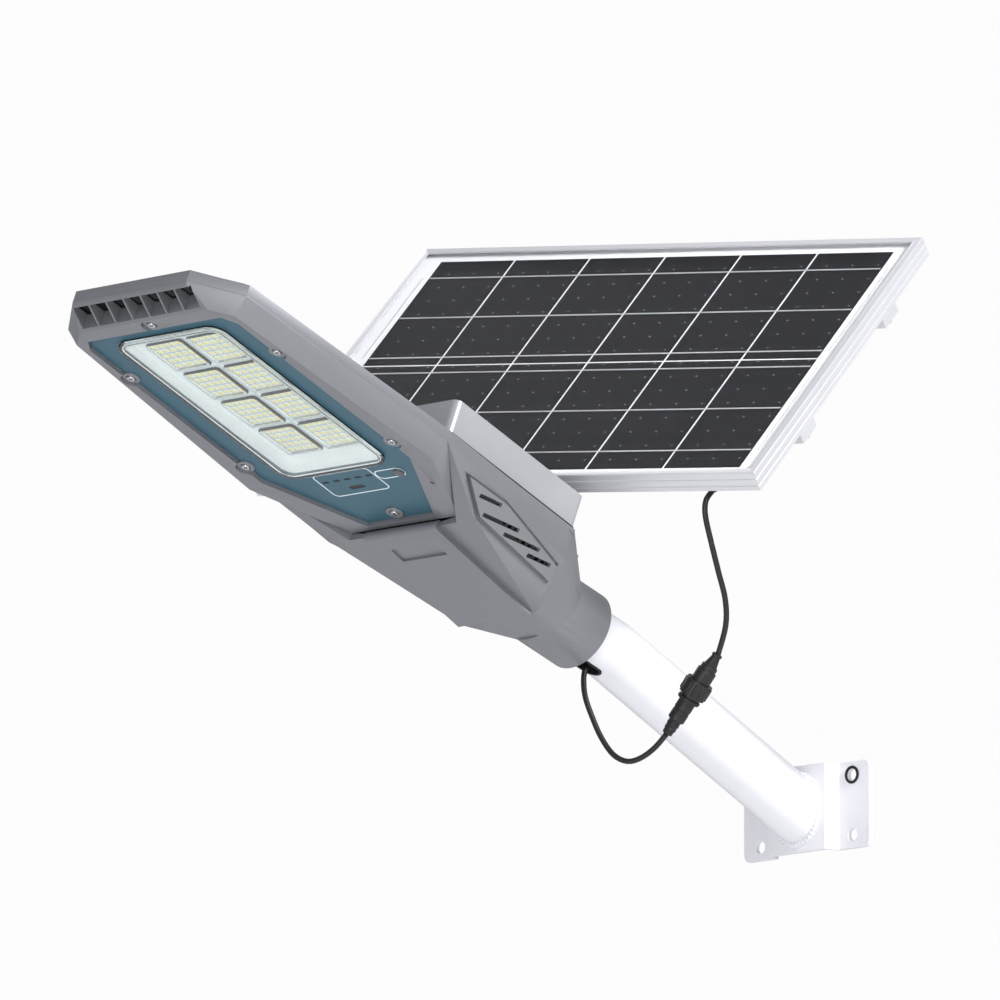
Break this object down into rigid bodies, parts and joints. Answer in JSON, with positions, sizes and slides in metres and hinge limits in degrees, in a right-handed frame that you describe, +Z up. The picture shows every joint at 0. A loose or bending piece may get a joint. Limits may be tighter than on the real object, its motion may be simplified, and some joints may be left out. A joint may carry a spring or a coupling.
{
  "type": "solar street lamp",
  "caption": "Pole-arm lamp head with a recessed light panel under a clear cover, a battery box, a tilting solar panel above its neck and a hat-shaped wall plate.",
  "frame": {"origin": "middle of the wall plate on its back face, at the middle of the four anchor holes", "axes": "+Z up, -Y out from the wall along the arm, +X to the right when facing the wall"},
  "size_m": [0.489, 0.7632, 0.5086],
  "materials": {
    "white_powder_coat": "satin",
    "black_rubber": "matte",
    "grey_casting": "satin",
    "grey_plastic": "satin",
    "black_plastic": "matte",
    "button_grey": "matte",
    "blue_paint": "satin",
    "white_reflector": "gloss",
    "yellow_chip": "satin",
    "clear_lens": "clear",
    "chrome_screw": "polished",
    "zinc_steel": "satin",
    "bracket_grey": "satin",
    "board_green": "gloss",
    "cell_sleeve": "satin",
    "anodised_frame": "anodised",
    "panel_glass": "clear",
    "dark_silicon": "gloss",
    "silver_ribbon": "satin",
    "white_sheet": "matte",
    "black_cord": "matte"
  },
  "bodies": {
    "lamp": {"wall_plate": "white_powder_coat", "anchor_ring": "black_rubber", "arm_tube": "white_powder_coat", "weld_bead": "white_powder_coat", "cable_bung": "black_rubber", "lamp_housing": "grey_casting", "lamp_bezel": "grey_casting", "tip_screen": "black_plastic", "chin_cover": "grey_casting", "side_grilles": "grey_casting", "vent_screens": "black_plastic", "lamp_plate": "blue_paint", "reflector_tray": "white_reflector", "module_boards": "white_reflector", "light_chips": "yellow_chip", "module_lenses": "clear_lens", "lens_cover": "clear_lens", "lens_seal": "black_rubber", "lamp_screws": "chrome_screw", "status_lenses": "black_plastic", "power_switch": "black_plastic", "control_board": "board_green", "battery_holder": "black_plastic", "battery_cells": "cell_sleeve", "battery_gasket": "black_rubber", "battery_lid": "grey_plastic", "lid_screws": "zinc_steel", "collar_screws": "zinc_steel", "swivel_foot": "bracket_grey", "foot_screws": "zinc_steel", "swivel_nut": "zinc_steel", "panel_cord_lower": "black_cord", "socket_half": "black_plastic", "link_seal": "black_rubber", "plug_half": "black_plastic", "lamp_cord": "black_cord"},
    "turret": {"swivel_turret": "bracket_grey", "tilt_bolt": "zinc_steel", "tilt_nut": "zinc_steel"},
    "panel": {"panel_arm": "bracket_grey", "cross_rail_lower": "anodised_frame", "cross_rail_upper": "anodised_frame", "rail_screws": "zinc_steel", "frame_left": "anodised_frame", "frame_right": "anodised_frame", "frame_top": "anodised_frame", "frame_bottom": "anodised_frame", "corner_keys": "anodised_frame", "panel_glass": "panel_glass", "solar_cells": "dark_silicon", "cell_ribbons": "silver_ribbon", "back_sheet": "white_sheet", "junction_box": "black_plastic", "junction_lid": "black_plastic", "cord_gland": "black_plastic", "panel_cord_upper": "black_cord"},
    "button": {"power_button": "button_grey"},
    "link_nut": {"coupling_nut": "black_plastic"}
  },
  "joints": [
    {"name": "panel_pan", "type": "hinge", "parent": "lamp", "child": "turret", "pos_m": [0, -0.30712, 0.20399], "axis": [0, 0.3907, 0.9205], "range_deg": [-37.5, 12.5], "deforming": ["panel_cord_lower"]},
    {"name": "panel_tilt", "type": "hinge", "parent": "turret", "child": "panel", "pos_m": [0, -0.30712, 0.20399], "axis": [0.9763, 0.1992, -0.0846], "range_deg": [-10, 25], "deforming": ["panel_cord_upper"]},
    {"name": "button_push", "type": "slide", "parent": "lamp", "child": "button", "axis": [0, 0.3907, 0.9205], "range_m": [0, 0.0012], "stiffness_N_per_m": 900, "springref_m": -0.0006},
    {"name": "link_nut_turn", "type": "hinge", "parent": "lamp", "child": "link_nut", "pos_m": [0.103, -0.242, 0.06], "axis": [0.5999, 0.1385, 0.788], "range_deg": [0, 540]}
  ]
}
